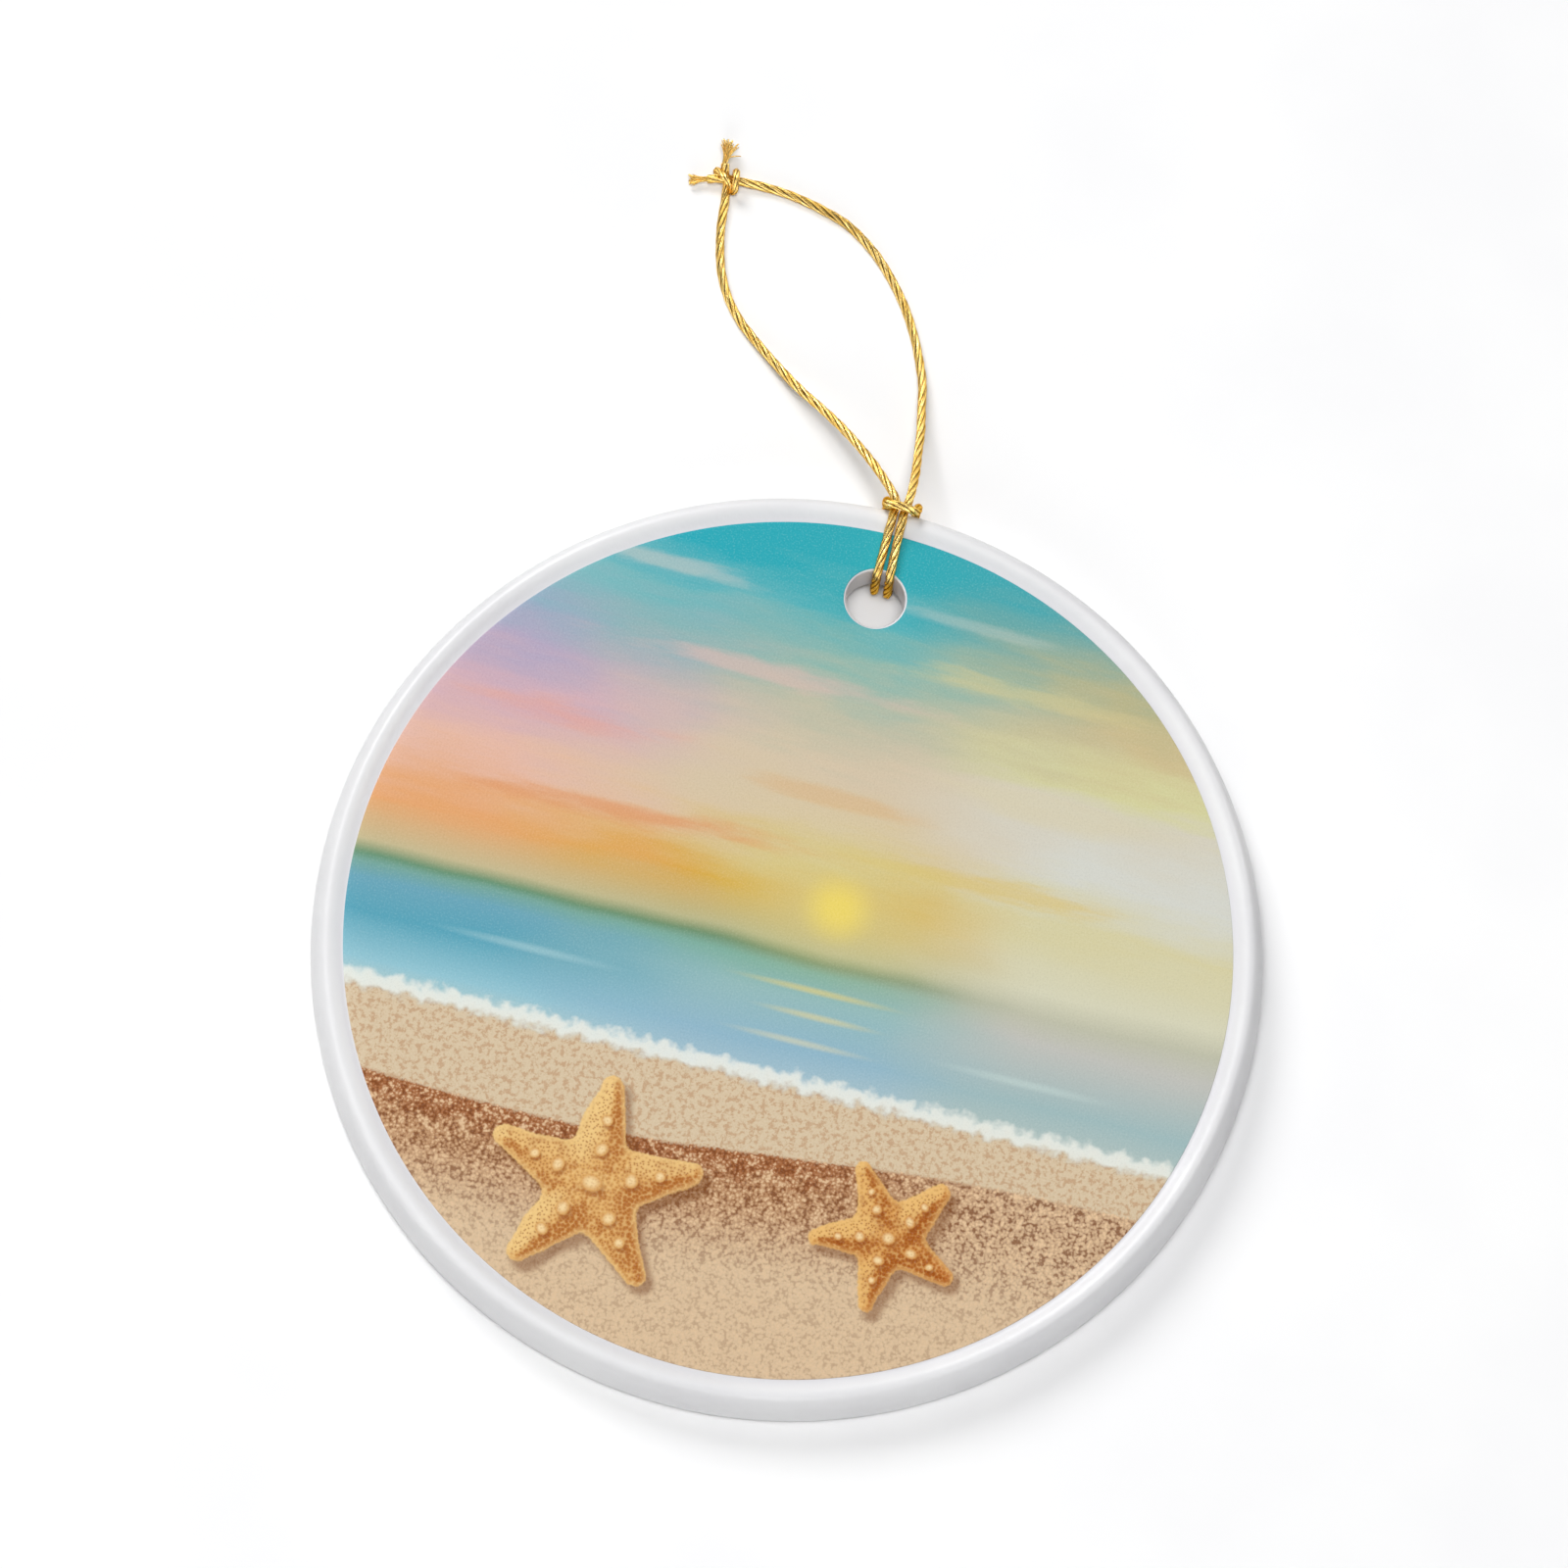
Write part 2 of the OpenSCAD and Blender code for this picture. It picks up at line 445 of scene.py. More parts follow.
def makeRope(name, points, scale=1.0, startTurn=0.0):
    line = smoothLine(points, cord["step"])
    frames = carriedSides(line)
    bundle = Bundle()
    for ply in range(cord["plies"]):
        centres = []
        axes = []
        for i, (point, (t, u, v)) in enumerate(zip(line, frames)):
            a = 2 * math.pi * (i * cord["step"] / cord["pitch"] + ply / cord["plies"]) + startTurn
            out = math.cos(a) * u + math.sin(a) * v
            uneven = 1 + 0.05 * math.sin(i * 0.11 + ply * 2.1)
            centres.append(point + out * cord["plyOffset"] * scale * uneven)
            axes.append((out, t.cross(out)))
        bundle.strand(centres, axes, cord["plyOut"] * scale, cord["plyAcross"] * scale, cord["sides"], ply)
    return bundle.piece(name), line


# one length of cord, from under the band, through the hole, round the rim and back again
hitchPoints = (onSurface(list(reversed(heldRoutes["frontLeft"][:-1])))
               + onSurface(heldRoutes["backLeft"][1:-1])
               + onSurface(heldRoutes["band"]) + onSurface(heldRoutes["backRight"][1:-1])
               + onSurface(heldRoutes["frontRight"][:-1]))
hitchCord, hitchLine = makeRope("hitchCord", hitchPoints)
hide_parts("cord_front_leg_left", "cord_front_leg_right", "cord_back_leg_left",
            "cord_back_leg_right", "cord_band")
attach(hitchCord, "hitch")

# the knot: a collar round the right strand, a turn over the left one, and a small bight
knot = {
    "thin": 0.82,  # pulled tight, the cord is thinner here
    "turns": [
        (-0.019, 0.06165, 0.0003), (-0.01902, 0.0618, 0.0008), (-0.01892, 0.0615, 0.00132),
        (-0.01882, 0.0608, 0.00142), (-0.01876, 0.0603, 0.001), (-0.01888, 0.06022, 0.0005),
        (-0.01912, 0.06035, 0.00055), (-0.0192, 0.0605, 0.00098), (-0.0194, 0.06062, 0.00132),
        (-0.0197, 0.06085, 0.0014), (-0.01998, 0.06112, 0.00126), (-0.02022, 0.0614, 0.00104),
        (-0.02045, 0.06155, 0.00084), (-0.02054, 0.06158, 0.0006), (-0.02045, 0.06148, 0.0004),
        (-0.0202, 0.0614, 0.00035),
    ],
}
knotTurns, knotLine = makeRope("knotTurns", knot["turns"], scale=knot["thin"])
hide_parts("cord_knot")

# frayed ends: fine flat filaments that open out of the last stretch of cord
frays = {
    "upper": {"root": (-0.02005, 0.0624, 0.0008), "tip": (-0.01998, 0.06405, 0.0012),
              "side": (1.0, 0.05, 0.1), "spread": 0.00078, "thick": 0.0002, "filaments": 46},
    "left": {"root": (-0.0212, 0.0607, 0.0006), "tip": (-0.02245, 0.06035, 0.00055),
             "side": (-0.3, 0.9, 0.3), "spread": 0.00046, "thick": 0.00022, "filaments": 38},
    "filamentWide": 0.00007, "filamentThin": 0.00003, "steps": 12,
    "stray": {"root": (-0.0199, 0.0628, 0.0009), "tip": (-0.01895, 0.06315, 0.00092)},
}


def bentLine(start, pull, end, steps):
    line = []
    for i in range(steps + 1):
        t = i / steps
        line.append((1 - t) ** 2 * start + 2 * t * (1 - t) * pull + t * t * end)
    return line


def makeFray(name, fray, stray=None):
    bundle = Bundle()
    root = Vector(fray["root"])
    tip = Vector(fray["tip"])
    heading = (tip - root).normalized()
    side = Vector(fray["side"])
    side = (side - side.dot(heading) * heading).normalized()
    rise = heading.cross(side)
    for number in range(fray["filaments"]):
        across = random.uniform(-1, 1)
        up = random.uniform(-1, 1)
        twist = random.uniform(0, math.pi)
        start = root - heading * 0.0003 + 0.00017 * (across * side + up * rise)
        reach = (tip - root).length * random.uniform(0.72, 1.08)
        end = root + heading * reach + fray["spread"] * across * side + fray["thick"] * up * rise
        pull = root + heading * reach * 0.55 + 0.00014 * (across * side + up * rise)
        line = bentLine(start, pull, end, frays["steps"])
        addFilament(bundle, line, twist, number)
    if stray:
        start = Vector(stray["root"])
        end = Vector(stray["tip"])
        pull = (start + end) / 2 + Vector((0, 0.00007, 0.0001))
        addFilament(bundle, bentLine(start, pull, end, frays["steps"]), 0.4, fray["filaments"])
    return bundle.piece(name)


def addFilament(bundle, line, twist, number):
    axes = []
    for i, (t, u, v) in enumerate(carriedSides(line)):
        a = twist + 0.9 * i / len(line)
        out = math.cos(a) * u + math.sin(a) * v
        axes.append((out, t.cross(out)))
    taper = [1 - 0.35 * (i / len(line)) ** 2 for i in range(len(line))]
    bundle.strand(line, axes, [frays["filamentThin"] * k for k in taper],
                  [frays["filamentWide"] * k for k in taper], 6, number, shade=False)


random.seed(7)
frayUpper = makeFray("frayUpper", frays["upper"], frays["stray"])
frayLeft = makeFray("frayLeft", frays["left"])
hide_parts("cord_tail_upper")
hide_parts("cord_tail_left")
for piece in (knotTurns, frayUpper, frayLeft):
    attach(piece, "loop")

# the two strands of the loop, each from under the band to its own frayed end
underBand = -2  # the leg's last point but one lies under the band
leftPoints = (onSurface(heldRoutes["frontLeft"][underBand:]) + freeRoutes["loopLeft"]
              + [(-0.01975, 0.0613, 0.00045), (-0.0199, 0.06185, 0.0006), (-0.02005, 0.0624, 0.0008)])
rightPoints = (onSurface(heldRoutes["frontRight"][underBand:]) + freeRoutes["loopRight"]
               + [(-0.0195, 0.0611, 0.0007), (-0.0202, 0.06095, 0.0007), (-0.0212, 0.0607, 0.0006)])
leftCord, leftLine = makeRope("leftCord", leftPoints)
rightCord, rightLine = makeRope("rightCord", rightPoints, startTurn=0.6)
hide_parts("cord_loop_left")
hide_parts("cord_loop_right")
for strandCord in (leftCord, rightCord):
    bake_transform(strandCord)
for label, line in (("left", leftLine), ("right", rightLine), ("hitch", hitchLine), ("knot", knotLine)):
    print("cord laid:", label, round(len(line) * cord["step"] / mm, 1), "mm")


# ceramic body: rings all the way round its section, from the hole's back edge, across the
# back, up the rim, over the bead, across the face and down the hole again
def arcRings(centreY, radius, height, wide, tall, start, end, steps):
    rings = []
    for i in range(steps + 1):
        a = math.radians(start + (end - start) * i / steps)
        rings.append((centreY, radius + wide * math.cos(a), height + tall * math.sin(a)))
    return rings


def flatRings(start, end, height, steps):
    rings = []
    for i in range(1, steps):
        t = i / steps
        rings.append((start[0] + (end[0] - start[0]) * t, start[1] + (end[1] - start[1]) * t, height))
    return rings


def ringMesh(name, rings, material, waver=0.0):
    verts = []
    n = disc["roundSteps"]
    for centreY, radius, height in rings:
        onBead = max(0.0, min(1.0, (radius - disc["faceRadius"]) / mm)) if centreY == 0 else 0.0
        onBead *= min(1.0, height / mm)
        for k in range(n):
            a = 2 * math.pi * k / n
            wave = math.sin(3 * a + 0.7) + 0.6 * math.sin(7 * a) + 0.4 * math.sin(13 * a + 2)
            stray = waver * onBead * wave
            r = radius + 0.5 * stray
            verts.append(asItLies @ Vector((r * math.cos(a), centreY + r * math.sin(a), height + stray)))
    faces = []
    for i in range(len(rings)):
        j = (i + 1) % len(rings)
        for k in range(n):
            m = (k + 1) % n
            faces.append((i * n + k, i * n + m, j * n + m, j * n + k))
    piece = newPiece(name, verts, faces, material)
    work = bmesh.new()
    work.from_mesh(piece.data)
    bmesh.ops.recalc_face_normals(work, faces=work.faces)
    work.to_mesh(piece.data)
    work.free()
    piece.data.shade_smooth()
    return piece


def bodyRings():
    holeY = disc["holeY"]
    backEdge = disc["holeRadius"] + disc["holeBackRound"]
    frontEdge = disc["holeRadius"] + disc["holeFrontRound"]
    beadWide = disc["outerRadius"] - disc["beadRadius"]
    rings = arcRings(holeY, backEdge, disc["holeBackRound"], disc["holeBackRound"], disc["holeBackRound"],
                     -180, -90, 8)
    rings += flatRings((holeY, backEdge), (0, disc["footRadius"]), 0.0, disc["flatSteps"])
    rings += arcRings(0, disc["footRadius"], disc["backRound"], disc["backRound"], disc["backRound"],
                      -90, 0, 8)
    rings += arcRings(0, disc["beadRadius"], disc["backRound"], beadWide,
                      disc["beadHeight"] - disc["backRound"], 0, 90, 28)[1:]
    for i in range(1, 17):
        t = i / 16
        radius = disc["beadRadius"] - (disc["beadRadius"] - disc["faceRadius"]) * t
        rise = (disc["beadHeight"] - disc["faceHeight"]) * (1 + math.cos(math.pi * t)) / 2
        rings.append((0, radius, disc["faceHeight"] + rise))
    rings += flatRings((0, disc["faceRadius"]), (holeY, frontEdge), disc["faceHeight"], disc["flatSteps"])
    rings += arcRings(holeY, frontEdge, disc["faceHeight"] - disc["holeFrontRound"], disc["holeFrontRound"],
                      disc["holeFrontRound"], 90, 180, 5)
    top = disc["faceHeight"] - disc["holeFrontRound"]
    for i in range(1, 8):
        rings.append((holeY, disc["holeRadius"], top + (disc["holeBackRound"] - top) * i / 8))
    return rings


glaze = {
    "white": (224, 224, 225), "greyAndShade": (206, 205, 209),
    "rough": 0.38, "bumpDepth": 0.00004,
    "shadeInner": 33.9, "shadeOuter": 34.9,  # millimetres from the middle, where the groove beside the print gets painted shade
}


def glazeMaterial():
    material, tree, shader = newMaterial("white_glaze")
    place = surfacePlace(tree)
    cloud = noiseField(tree, place, 0.09, 3.0, 0.55, flat=False)
    orangePeel = noiseField(tree, place, 1.3, 2.0, 0.5, flat=False)
    flat = vectorStep(tree, "MULTIPLY", place, (1, 1, 0))
    radius = vectorStep(tree, "LENGTH", flat)
    # random grey clouding of the glaze, in the same grey as the painted groove shade
    white = layer(tree, plain(glaze["white"]), plain(glaze["greyAndShade"]), cloud.over(0.35, 0.75, 0.0, 0.35))
    # painted shade: greyer in the groove between the bead and the print
    grooveShade = radius.over(glaze["shadeOuter"], glaze["shadeInner"], 0.0, 0.8)
    white = layer(tree, white, plain(glaze["greyAndShade"]), grooveShade)
    feed(tree, shader.inputs["Base Color"], white)
    feed(tree, shader.inputs["Roughness"], cloud.over(0.3, 0.7, glaze["rough"] - 0.05, glaze["rough"] + 0.08))
    shader.inputs["IOR"].default_value = 1.5
    shader.inputs["Coat Weight"].default_value = 0.12
    shader.inputs["Coat Roughness"].default_value = 0.22
    addBump(tree, shader, orangePeel, glaze["bumpDepth"])
    return material


ceramicBody = ringMesh("ceramicBody", bodyRings(), glazeMaterial(), disc["waver"])
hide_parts("ceramic_disc")
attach(ceramicBody, "disc")
print("ceramic body made:", len(ceramicBody.data.vertices), "points")


# printed face: a thin coat with softened edges, and the whole picture drawn by its material
def coatRings():
    low = disc["faceHeight"]
    high = low + disc["printThick"]
    edge = disc["faceRadius"]
    holeEdge = disc["holeRadius"] + disc["holeFrontRound"]
    soft = disc["printThick"]
    holeY = disc["holeY"]
    rings = arcRings(0, edge - soft, low, soft, soft, 0, 90, 4)
    rings += flatRings((0, edge - soft), (holeY, holeEdge + soft), high, disc["flatSteps"])
    rings += arcRings(holeY, holeEdge + soft, low, soft, soft, 90, 180, 4)
    rings += flatRings((holeY, holeEdge), (0, edge), low, disc["flatSteps"])
    return rings


# the picture, in millimetres from the disc's middle and colours from 0 to 255
picture = {
    "low": -16.0, "high": 34.0,
    "leftSky": [
        (-14, (213, 206, 188)), (-12, (190, 203, 198)), (-9, (148, 195, 208)), (-5.5, (96, 164, 184)),
        (-2.8, (112, 166, 184)), (-1.5, (122, 166, 156)), (-0.9, (110, 148, 118)),
        (0.2, (196, 184, 146)), (4, (226, 166, 115)),
        (9, (226, 184, 166)), (14, (208, 174, 184)), (18, (180, 168, 192)), (22, (152, 172, 192)),
        (26, (130, 185, 190)), (30, (60, 170, 186)),
    ],
    "middleSky": [
        (-14, (213, 206, 188)), (-12, (176, 198, 206)), (-8, (146, 182, 200)), (-4, (150, 186, 186)),
        (-1.8, (132, 176, 160)),
        (-0.9, (118, 146, 112)), (0.1, (184, 182, 140)), (3.8, (212, 170, 72)), (6.5, (212, 190, 130)),
        (10, (213, 196, 164)), (15, (211, 195, 170)), (19, (190, 189, 167)), (23, (144, 183, 173)),
        (27, (92, 176, 183)), (30, (66, 170, 181)),
    ],
    "rightSky": [
        (-14, (210, 200, 184)), (-12, (186, 196, 190)), (-8, (160, 186, 188)), (-3, (192, 192, 186)),
        (-0.9, (190, 190, 170)), (1, (212, 210, 185)), (6, (212, 205, 164)), (11, (211, 212, 204)),
        (15, (211, 206, 190)), (18, (211, 208, 160)), (21.5, (204, 188, 146)), (25.5, (184, 180, 142)),
        (29, (138, 171, 160)), (32, (98, 166, 170)),
    ],
    "clouds": [  # middle, half sizes, colour, strength
        ((-16, 27.5), (8, 0.8), (196, 200, 196), 0.5), ((6, 28.2), (9, 0.7), (180, 200, 196), 0.4),
        ((14, 24), (10, 1.0), (212, 202, 150), 0.5), ((-8, 20.8), (12, 1.0), (214, 186, 180), 0.55),
        ((18, 15), (9, 1.2), (214, 204, 170), 0.5), ((-20, 13.4), (8, 1.1), (224, 164, 150), 0.55),
        ((0, 12.2), (9, 0.8), (214, 176, 130), 0.5), ((-12, 7.2), (12, 1.0), (220, 152, 108), 0.65),
        ((14, 8), (10, 0.9), (216, 190, 110), 0.55),
    ],
    "glints": [
        ((3, -3.2), (8, 0.4), (222, 206, 130), 0.6), ((3.5, -5.2), (6, 0.4), (222, 210, 150), 0.55),
        ((2.5, -7.4), (7, 0.4), (220, 214, 176), 0.5), ((-19, -5.2), (9, 0.5), (170, 206, 212), 0.5),
        ((20, -6.4), (9, 0.5), (196, 214, 210), 0.5),
    ],
    "sunGlow": ((3, 4.5), (13, 8), (214, 206, 150), 0.6),
    "sunCore": ((3, 3.6), (3.6, 3.4), (236, 214, 110), 0.9),
}

# plain five-armed starfish, lying on the sand
starfish = [
    {
        "middle": (-10.0, -22.0), "firstArm": 20.0, "reach": 7.6,
        "root": 2.9, "taper": 2.0, "web": 1.3, "knobSize": 0.62,
        "lit": (240, 206, 142), "plain": (216, 166, 104), "shaded": (180, 116, 66),
        "darkSide": (190, 124, 68), "darkFrom": 0.0, "darkTo": 14.0,
    },
    {
        "middle": (12.5, -20.5), "firstArm": 50.0, "reach": 5.4,
        "root": 2.1, "taper": 1.45, "web": 0.9, "knobSize": 0.46,
        "lit": (236, 194, 126), "plain": (208, 150, 88), "shaded": (166, 96, 52),
        "darkSide": (184, 104, 58), "darkFrom": -1.0, "darkTo": 8.0,
    },
]
starArms = 5
knobRows = ((0.38, 1.0), (0.68, 0.75))  # share of the arm, share of the knob size
starShadow = (-0.6, 0.5, 0)
knobShadow = (-0.2, 0.25, 0)
starLight = (-0.42, 0.3)     # towards the light in the picture, and how far to feel for it
starSkin = {"knob": (242, 214, 164), "pit": (146, 82, 42), "shadow": (126, 80, 52)}

sand = {
    "behind": (214, 195, 166), "behindTop": -10.5, "foam": (234, 236, 228), "foamWide": 0.9,
    "crest": (160, 100, 66), "upper": (186, 144, 108), "lower": (214, 188, 156),
    "darkGrain": (118, 72, 46), "lightGrain": (232, 200, 162),
    "grain": 2.2,
    "hill": [(-34, -17), (-20, -17.8), (-8, -17.6), (4, -16.4), (16, -15.2), (26, -14.8), (34, -14.8)],
    "hillLow": -34.0, "hillHigh": -14.0,
}


def blob(u, v, middle, halves):
    # distance from a middle, counted in half sizes
    across = (u - middle[0]) * (1 / halves[0])
    up = (v - middle[1]) * (1 / halves[1])
    return (across * across + up * up).calc("SQRT")


def armWay(star, arm):
    turn = math.radians(star["firstArm"] + 360 * arm / starArms)
    return Vector((math.cos(turn), math.sin(turn), 0))


def starDistance(tree, spot, star):
    # how far outside a star a point is: tapering arms melted together
    nearest = None
    reach = star["reach"]
    for arm in range(starArms):
        way = armWay(star, arm)
        along = vectorStep(tree, "DOT_PRODUCT", spot, way).calc("MULTIPLY", 1 / reach, clamp=True)
        onArm = vectorStep(tree, "SCALE", way * reach, scale=along)
        gap = vectorStep(tree, "DISTANCE", spot, onArm) + along * star["taper"]
        nearest = gap if nearest is None else nearest.calc("SMOOTH_MIN", gap, star["web"])
    return nearest - star["root"]


def softSpot(tree, paint, u, v, spot):
    middle, halves, colour, strength = spot
    return layer(tree, paint, ink(colour), blob(u, v, middle, halves).over(1.0, 0.1, 0.0, strength))


def paintSky(tree, u, v, streak, drift):
    skyPart = v.over(1.0, 7.0)
    bent = v + (streak - 0.5) * skyPart * 7.0 + (drift - 0.5) * 0.8
    slid = u + (drift - 0.5) * 14.0
    low = picture["low"]
    high = picture["high"]
    paint = layer(tree, bent.ramp(low, high, picture["leftSky"]), bent.ramp(low, high, picture["middleSky"]),
                  slid.over(-26, -2))
    paint = layer(tree, paint, bent.ramp(low, high, picture["rightSky"]), slid.over(2, 21))
    for middle, halves, colour, strength in picture["clouds"]:
        edge = blob(u, v, middle, halves) + (streak - 0.5) * 2.6
        paint = layer(tree, paint, ink(colour), edge.over(1.25, 0.25, 0.0, strength))
    paint = softSpot(tree, paint, u, v, picture["sunGlow"])
    for glint in picture["glints"]:
        paint = softSpot(tree, paint, u, v, glint)
    return softSpot(tree, paint, u, v, picture["sunCore"])


def starKnobs(star):
    # one knob in the middle and two along each arm
    knobs = [(0.0, 0.0, star["knobSize"] * 1.25)]
    for arm in range(starArms):
        for share, size in knobRows:
            spot = armWay(star, arm) * (star["reach"] * share)
            knobs.append((spot.x, spot.y, star["knobSize"] * size))
    return knobs


def knobField(tree, where, knobs):
    # distance from the nearest knob, counted in its own radius
    nearest = None
    for x, y, radius in knobs:
        away = vectorStep(tree, "DISTANCE", where, (x, y, 0)) * (1 / radius)
        nearest = away if nearest is None else nearest.calc("MINIMUM", away)
    return nearest


def paintStar(tree, paint, flat, star, skin, mottle):
    spot = vectorStep(tree, "SUBTRACT", flat, (star["middle"][0], star["middle"][1], 0))
    gap = starDistance(tree, spot, star)
    cast = starDistance(tree, vectorStep(tree, "ADD", spot, starShadow), star)
    paint = layer(tree, paint, ink(starSkin["shadow"]), cast.over(0.5, -0.3, 0.0, 0.6))
    shifted = vectorStep(tree, "ADD", spot, (starLight[0], starLight[1], 0))
    slope = starDistance(tree, shifted, star) - gap
    feel = math.hypot(*starLight)
    inside = (gap + (skin - 0.4) * 0.12).over(0.08, -0.1)
    side = vectorStep(tree, "DOT_PRODUCT", spot, (0.9, -0.35, 0))
    turned = side.over(star["darkFrom"], star["darkTo"], 0.0, 0.85)
    body = layer(tree, ink(star["plain"]), ink(star["darkSide"]), turned)
    body = layer(tree, body, ink(star["lit"]), gap.over(-1.9, -3.4, 0.0, 0.35))
    body = layer(tree, body, ink(star["shaded"]), mottle.over(0.54, 0.34, 0.0, 0.7))
    nearEdge = gap.over(-2.5, -0.8)
    body = layer(tree, body, ink(star["shaded"]), slope.over(0.3 * feel, -feel, 0.0, 0.9) * nearEdge)
    body = layer(tree, body, ink(star["lit"]), slope.over(0.2 * feel, feel, 0.0, 0.75) * nearEdge)
    pitted = gap.over(-2.9, -1.3, 0.2, 0.55) * gap.over(-0.2, -0.6)
    body = layer(tree, body, ink(starSkin["pit"]), skin.over(0.32, 0.1) * pitted)
    body = layer(tree, body, ink(star["lit"]), skin.over(0.42, 0.75, 0.0, 0.4))
    nub = knobField(tree, spot, starKnobs(star))
    shade = knobField(tree, vectorStep(tree, "ADD", spot, knobShadow), starKnobs(star))
    body = layer(tree, body, ink(starSkin["pit"]), shade.over(1.25, 0.7, 0.0, 0.6))
    body = layer(tree, body, ink(star["plain"]), nub.over(1.1, 0.8))
    body = layer(tree, body, ink(starSkin["knob"]), nub.over(0.95, 0.2, 0.0, 0.95))
    body = layer(tree, body, ink(star["shaded"]), skin.over(0.4, 0.1, 0.0, 0.25))
    body = layer(tree, body, ink(star["lit"]), gap.over(-0.5, -0.05, 0.0, 0.45))
    return layer(tree, paint, body, inside)


def paintSand(tree, paint, u, v, grain, clump, cells):
    low = sand["hillLow"]
    rise = sand["hillHigh"] - low
    hillTop = u.curve(-34, 34, [(x, (y - low) / rise) for x, y in sand["hill"]]) * rise + low
    depth = hillTop - v + (grain - 0.5) * 0.9
    crest = (depth + (clump - 0.5) * 4.0).over(3.2, 0.4, 0.0, 0.8) * u.over(16, 4, 0.3, 1.0)
    body = layer(tree, ink(sand["upper"]), ink(sand["crest"]), crest)
    body = layer(tree, body, ink(sand["lower"]), depth.over(2.5, 10.0))
    body = layer(tree, body, ink(sand["lower"]), u.over(6, 24, 0.0, 0.6))
    speckle = grain + (clump - 0.5) * 0.5 + (cells - 0.4) * -0.45
    sharp = depth.over(11.0, 3.0, 0.35, 1.0)
    body = layer(tree, body, ink(sand["darkGrain"]), speckle.over(0.52, 0.25, 0.0, 0.75) * sharp)
    body = layer(tree, body, ink(sand["lightGrain"]), speckle.over(0.5, 0.78, 0.0, 0.8) * sharp)
    return layer(tree, paint, body, depth.over(-0.12, 0.12))


def paintPicture(tree):
    place = surfacePlace(tree)
    parts = tree.nodes.new("ShaderNodeSeparateXYZ")
    tree.links.new(place, parts.inputs[0])
    u = Field(tree, parts.outputs[0])
    v = Field(tree, parts.outputs[1])
    streak = noiseField(tree, vectorOf(tree, u * 0.07 + v * 0.03, v * 0.42), 1.0, 5.0, 0.6)
    drift = noiseField(tree, vectorOf(tree, u * 0.07 + 9.0, v * 0.16), 1.0, 2.0, 0.5)
    paint = paintSky(tree, u, v, streak, drift)
    flat = vectorOf(tree, u, v)
    grain = noiseField(tree, flat, sand["grain"], 2.5, 0.7)
    clump = noiseField(tree, flat, 0.9, 2.0, 0.5)
    cells = cellField(tree, flat, 3.6)
    shore = v + (clump - 0.5) * 1.6
    behind = layer(tree, ink(sand["behind"]), ink(sand["upper"]), grain.over(0.55, 0.35, 0.0, 0.6))
    paint = layer(tree, paint, behind, shore.over(sand["behindTop"] + 0.5, sand["behindTop"] - 1.2))
    paint = layer(tree, paint, ink(sand["foam"]),
                  (shore - sand["behindTop"]).calc("ABSOLUTE").over(sand["foamWide"], 0.2, 0.0, 0.8))
    paint = paintSand(tree, paint, u, v, grain, clump, cells)
    bend = noiseField(tree, flat, 0.22, 1.0, 0.5) - 0.5
    flatBent = vectorOf(tree, u + bend * 0.9, v - bend * 0.7)
    for star in starfish:
        paint = paintStar(tree, paint, flatBent, star, cells, clump)
    weave = noiseField(tree, flat, 7.0, 1.0, 0.5)
    paint = layer(tree, paint, ink((250, 250, 240)), weave.over(0.5, 0.85, 0.0, 0.07))
    return layer(tree, paint, ink((60, 60, 60)), weave.over(0.5, 0.15, 0.0, 0.07)), weave


def coatMaterial():
    material, tree, shader = newMaterial("printed_coat")
    paint, weave = paintPicture(tree)
    feed(tree, shader.inputs["Base Color"], paint)
    feed(tree, shader.inputs["Roughness"], weave.over(0.3, 0.7, 0.36, 0.46))
    shader.inputs["Specular IOR Level"].default_value = 0.2
    addBump(tree, shader, weave, 0.00001)
    print("picture drawn:", len(tree.nodes), "nodes")
    return material


printedCoat = ringMesh("printedCoat", coatRings(), coatMaterial())
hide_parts("printed_face")
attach(printedCoat, "disc")


# floor and light: a soft light overhead, one high on the left, a weak one in front, and
# striped surroundings that only show in reflections, so that the thread has something to sparkle with
studio = {
    "floorSize": 3.0, "floorWhite": (241, 241, 241), "floorGrey": (237, 237, 238),
    "topPlace": (0.0, -0.1, 1.0), "topSize": 0.5, "topPower": 7.0,
    "keyPlace": (-0.62, 0.72, 0.82), "keySize": 0.6, "keyPower": 9.2,
    "frontPlace": (0.1, -0.9, 0.45), "frontSize": 0.6, "frontPower": 2.6,
    "surround": 0.03, "stripes": 2.3, "stripeTurn": (0.97, -0.23, 0.0), "stripeCount": 6.0,
    "clearWay": (0.0, 0.31, 0.95),  # kept dark, because the print mirrors it
    "backdrop": 1.0,
}


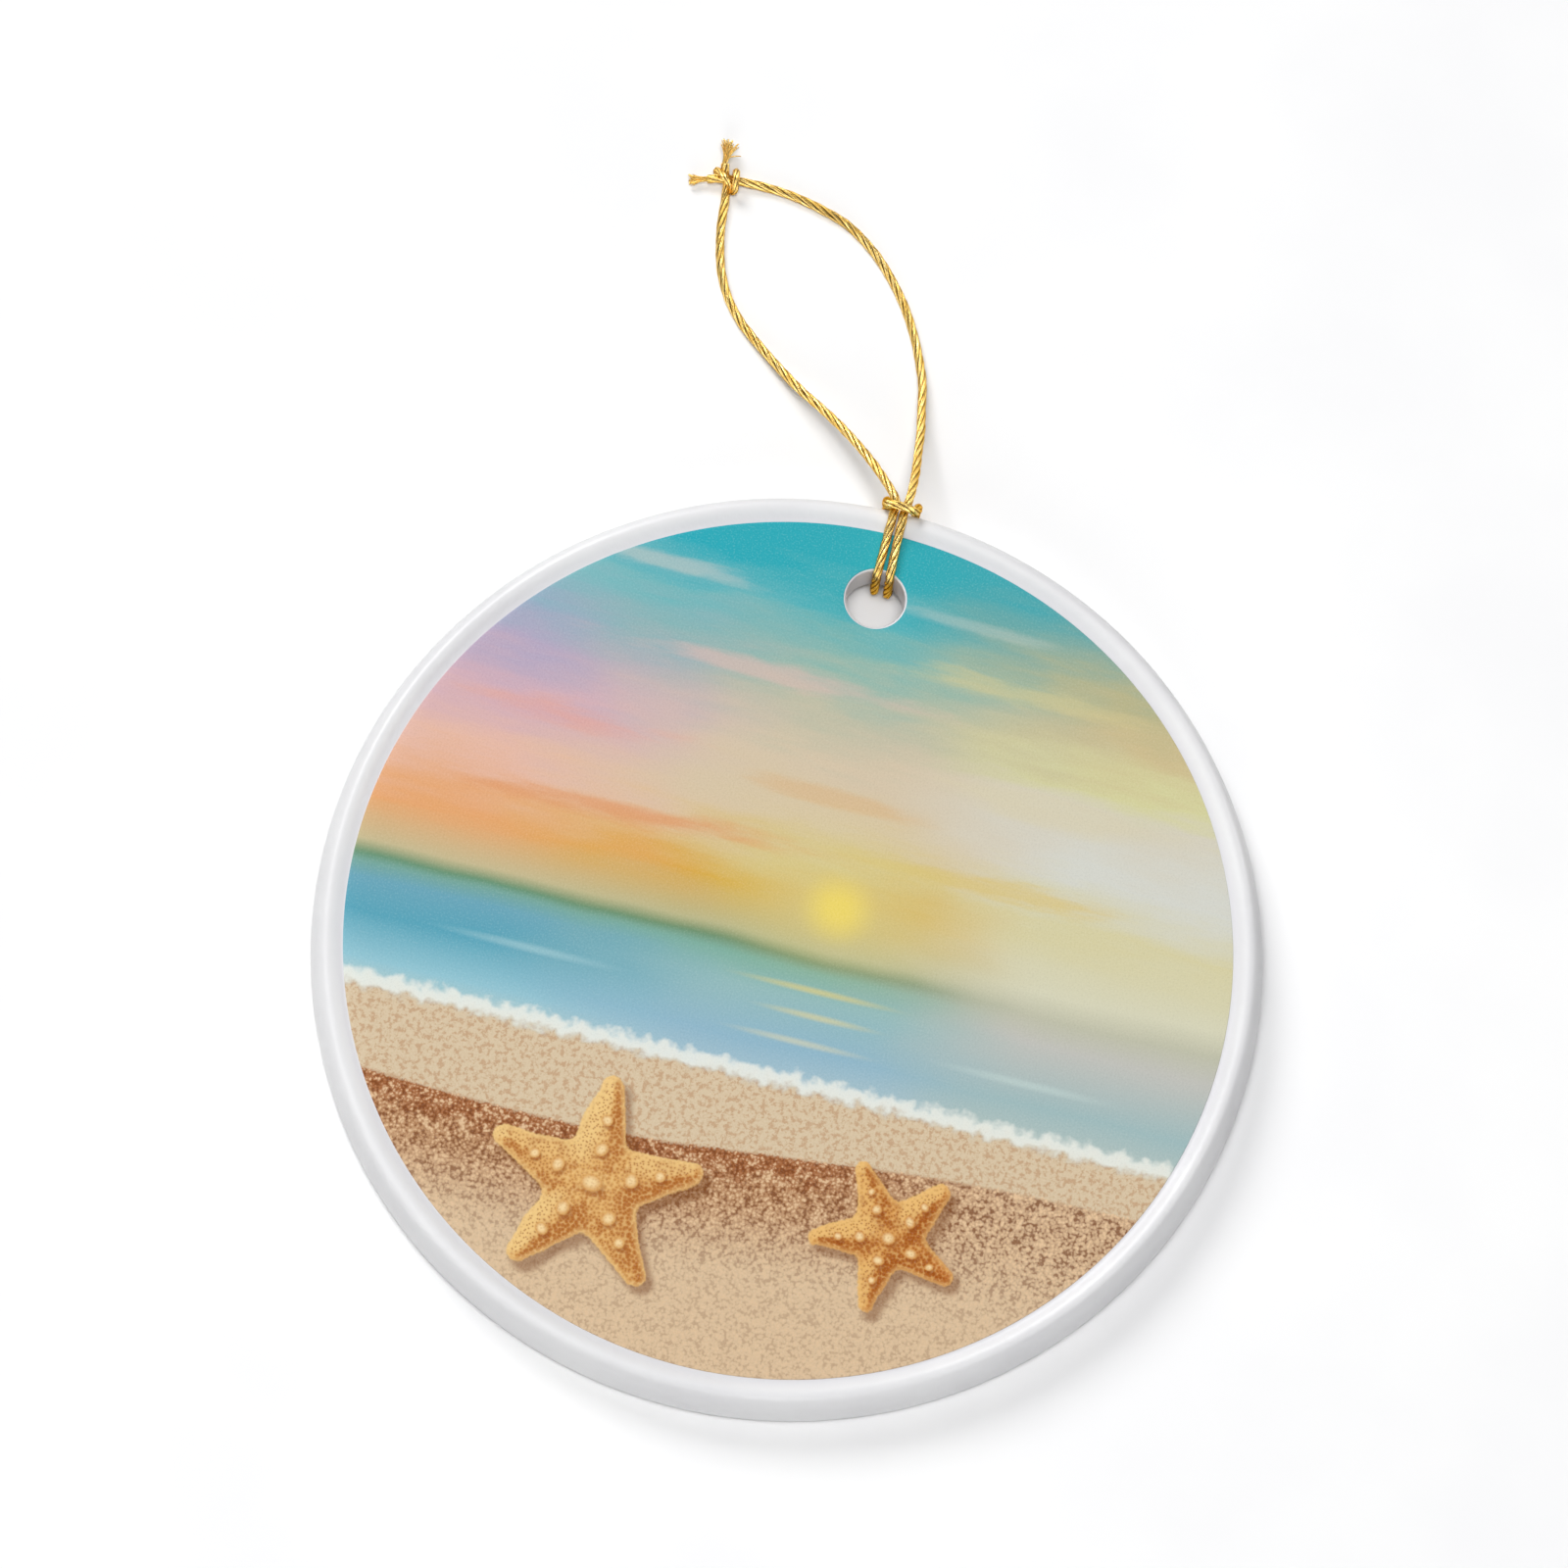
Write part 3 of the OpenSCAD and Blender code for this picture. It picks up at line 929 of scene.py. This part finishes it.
def addFloor():
    half = studio["floorSize"] / 2
    steps = 12
    verts = []
    for j in range(steps + 1):
        for i in range(steps + 1):
            verts.append((-half + 2 * half * i / steps, -half + 2 * half * j / steps, 0.0))
    faces = []
    for j in range(steps):
        for i in range(steps):
            a = j * (steps + 1) + i
            faces.append((a, a + 1, a + steps + 2, a + steps + 1))
    material, tree, shader = newMaterial("pale_floor")
    coords = tree.nodes.new("ShaderNodeTexCoord")
    paper = noiseField(tree, coords.outputs["Object"], 40.0, 3.0, 0.5, flat=False)
    pale = layer(tree, plain(studio["floorWhite"]), plain(studio["floorGrey"]), paper.over(0.3, 0.7))
    feed(tree, shader.inputs["Base Color"], pale)
    shader.inputs["Roughness"].default_value = 0.9
    shader.inputs["Specular IOR Level"].default_value = 0.1
    floor = newPiece("floor", verts, faces, material)


def addSoftLight(name, place, size, power):
    data = bpy.data.lights.new(name, "AREA")
    data.shape = "DISK"
    data.size = size
    data.energy = power
    light = bpy.data.objects.new(name, data)
    light.location = place
    light.rotation_euler = (-Vector(place)).to_track_quat("-Z", "Y").to_euler()
    scene.collection.objects.link(light)
    return light


def addLights():
    top = addSoftLight("top", studio["topPlace"], studio["topSize"], studio["topPower"])
    top.visible_glossy = False  # it would veil the print
    addSoftLight("key", studio["keyPlace"], studio["keySize"], studio["keyPower"])
    addSoftLight("front", studio["frontPlace"], studio["frontSize"], studio["frontPower"])

    world = bpy.data.worlds.new("surround")
    scene.world = world
    world.use_nodes = True
    tree = world.node_tree
    way = tree.nodes.new("ShaderNodeTexCoord").outputs["Generated"]
    turned = vectorStep(tree, "DOT_PRODUCT", way, studio["stripeTurn"])
    stripes = (turned * studio["stripeCount"]).calc("COSINE")
    away = vectorStep(tree, "DOT_PRODUCT", way, studio["clearWay"]).over(0.88, 0.7)
    path = tree.nodes.new("ShaderNodeLightPath")
    mirrored = Field(tree, path.outputs["Is Glossy Ray"])
    glow = stripes.over(0.5, -0.4, 0.05, studio["stripes"]) * away * mirrored
    glow = glow.calc("MAXIMUM", studio["surround"])
    glow = glow.calc("MAXIMUM", Field(tree, path.outputs["Is Camera Ray"]) * studio["backdrop"])
    background = tree.nodes["Background"]
    background.inputs["Color"].default_value = (1.0, 1.0, 1.0, 1.0)
    feed(tree, background.inputs["Strength"], glow)


addFloor()
addLights()
print("floor and lights set")
